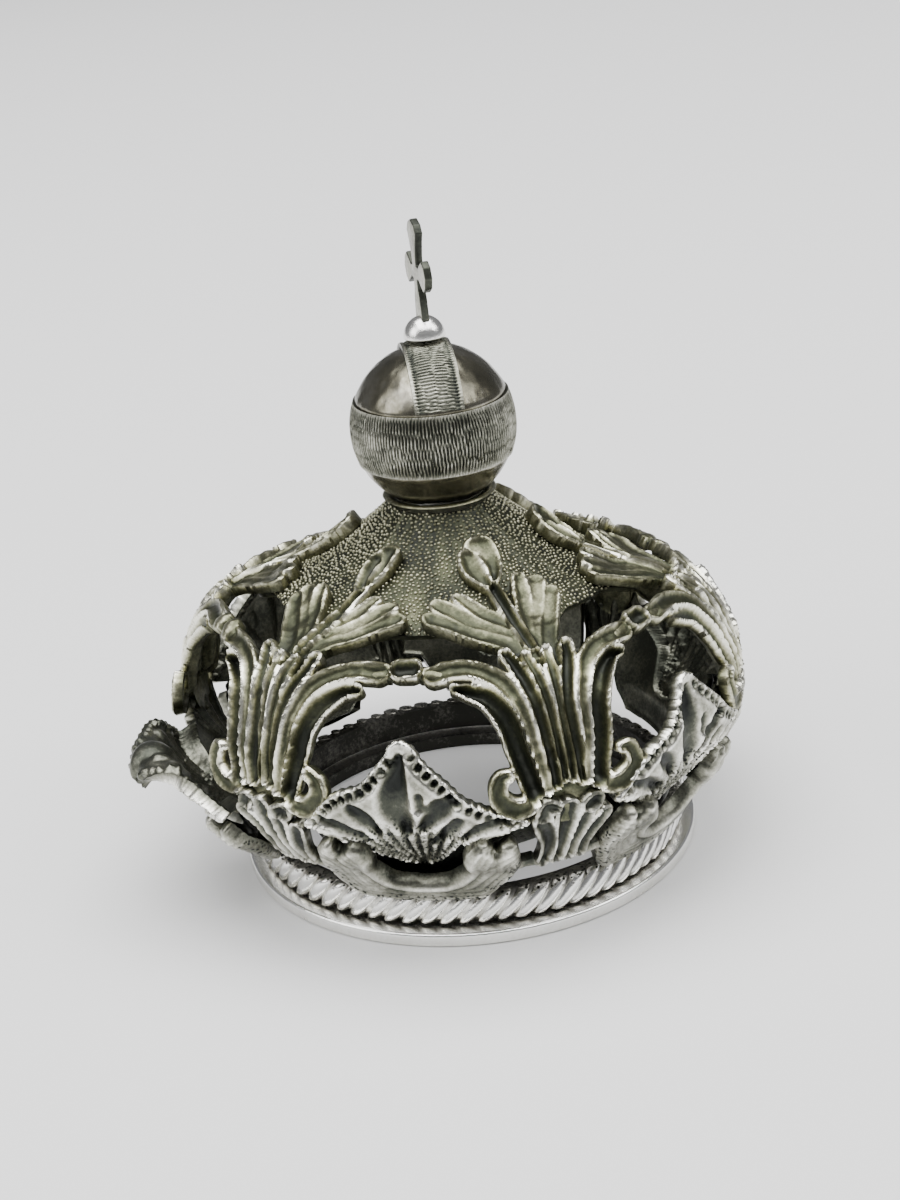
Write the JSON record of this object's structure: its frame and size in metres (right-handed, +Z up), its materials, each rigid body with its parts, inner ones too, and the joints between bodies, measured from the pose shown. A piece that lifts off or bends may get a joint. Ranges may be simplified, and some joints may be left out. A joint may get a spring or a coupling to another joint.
{
  "type": "openwork silver crown with orb and cross",
  "caption": "Small domed openwork silver crown: a rope-moulded base ring, pierced acanthus leaves and shells, and a banded orb with a flat cross.",
  "frame": {"origin": "under the middle of the crown's width and depth, on the plane of the base ring's flat underside", "axes": "+Z up through the orb and cross, -Y the front, the side with the bent shell that the cross's face looks to, +X to its right seen from the front"},
  "size_m": [0.0622, 0.0684, 0.069],
  "materials": {
    "polished_silver": "hand-worn silver, bright, with soft dents and grey in the hollows",
    "patinated_silver": "chased silver, bright on the ridges and olive to black in the hollows",
    "worn_silver": "smooth silver with a cloudy olive tarnish",
    "engraved_silver": "silver cut with close wavering lines, dark between them"
  },
  "bodies": {
    "root": {"base_flange": "polished_silver", "rope_moulding": "polished_silver", "crown_body": "patinated_silver", "neck_ring": "patinated_silver", "orb": "worn_silver", "orb_band": "engraved_silver", "orb_strap": "engraved_silver", "top_bead": "worn_silver", "cross": "polished_silver"}
  },
  "joints": []
}
